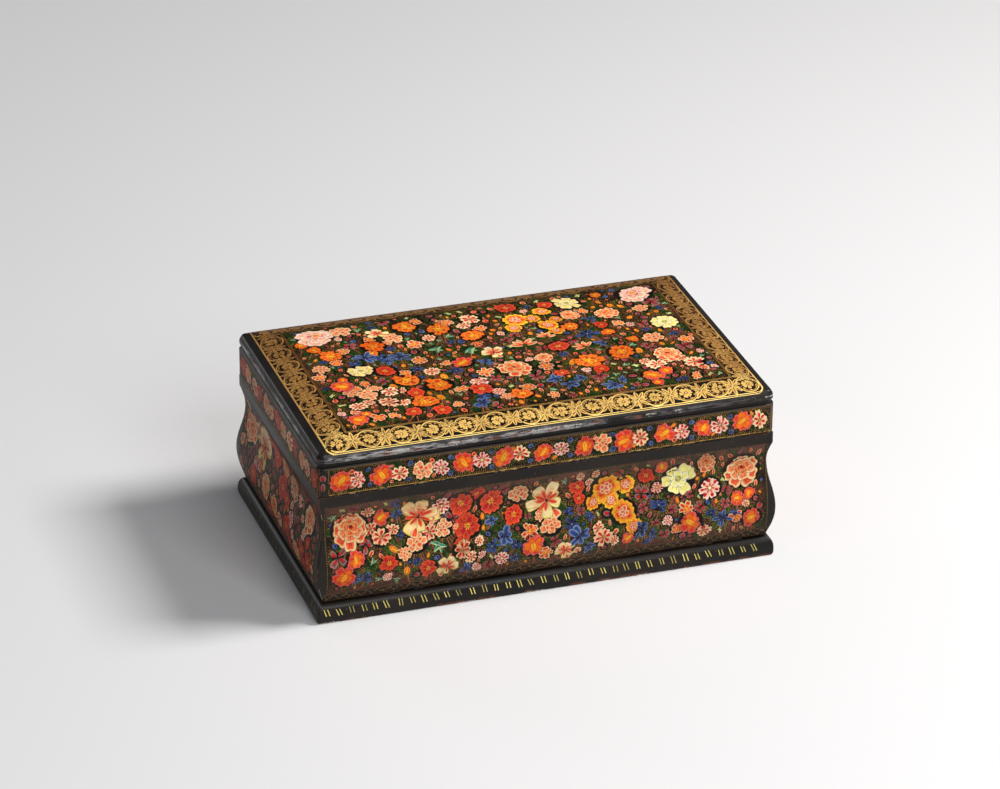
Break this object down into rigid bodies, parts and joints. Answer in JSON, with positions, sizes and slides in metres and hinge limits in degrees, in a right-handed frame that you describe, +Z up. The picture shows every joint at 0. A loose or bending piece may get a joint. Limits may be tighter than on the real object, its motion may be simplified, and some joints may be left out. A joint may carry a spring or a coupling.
{
  "type": "wooden box",
  "caption": "Rectangular lacquered wooden box with an ogee body on a moulded plinth and a hinged, gently crowned lid, painted all over with small flowers between gold scroll borders.",
  "frame": {"origin": "middle of the flat underside, on the bottom board", "axes": "+Z up, +X along the length with the hinges' side behind, so the front faces -Y"},
  "size_m": [0.308, 0.1941, 0.1237],
  "materials": {
    "painted_lacquer": "black-ground lacquer painted with flowers and gold, semi-gloss",
    "black_lacquer": "black lacquer, semi-gloss, worn at the edges",
    "stained_wood": "dark stained wood, satin",
    "brass": "aged brass"
  },
  "bodies": {
    "body": {"body_wall_front": "painted_lacquer", "body_wall_right": "painted_lacquer", "body_wall_back": "painted_lacquer", "body_wall_left": "painted_lacquer", "bottom_board": "stained_wood", "plinth_front": "black_lacquer", "plinth_right": "black_lacquer", "plinth_back": "black_lacquer", "plinth_left": "black_lacquer", "lip_strip_front": "stained_wood", "lip_strip_left": "stained_wood", "lip_strip_right": "stained_wood", "hinge_left_body_leaf": "brass", "hinge_right_body_leaf": "brass", "hinge_left_pin": "brass", "hinge_right_pin": "brass", "hinge_left_body_screw_1": "brass", "hinge_left_body_screw_2": "brass", "hinge_right_body_screw_1": "brass", "hinge_right_body_screw_2": "brass"},
    "lid": {"lid_top_panel": "painted_lacquer", "lid_rail_front": "painted_lacquer", "lid_rail_right": "painted_lacquer", "lid_rail_back": "painted_lacquer", "lid_rail_left": "painted_lacquer", "hinge_left_lid_leaf": "brass", "hinge_right_lid_leaf": "brass", "hinge_left_lid_screw_1": "brass", "hinge_left_lid_screw_2": "brass", "hinge_right_lid_screw_1": "brass", "hinge_right_lid_screw_2": "brass"}
  },
  "joints": [
    {"name": "lid_hinge", "type": "hinge", "parent": "body", "child": "lid", "pos_m": [0, 0.0962, 0.08875], "axis": [-1, 0, 0], "range_deg": [0, 105]}
  ]
}
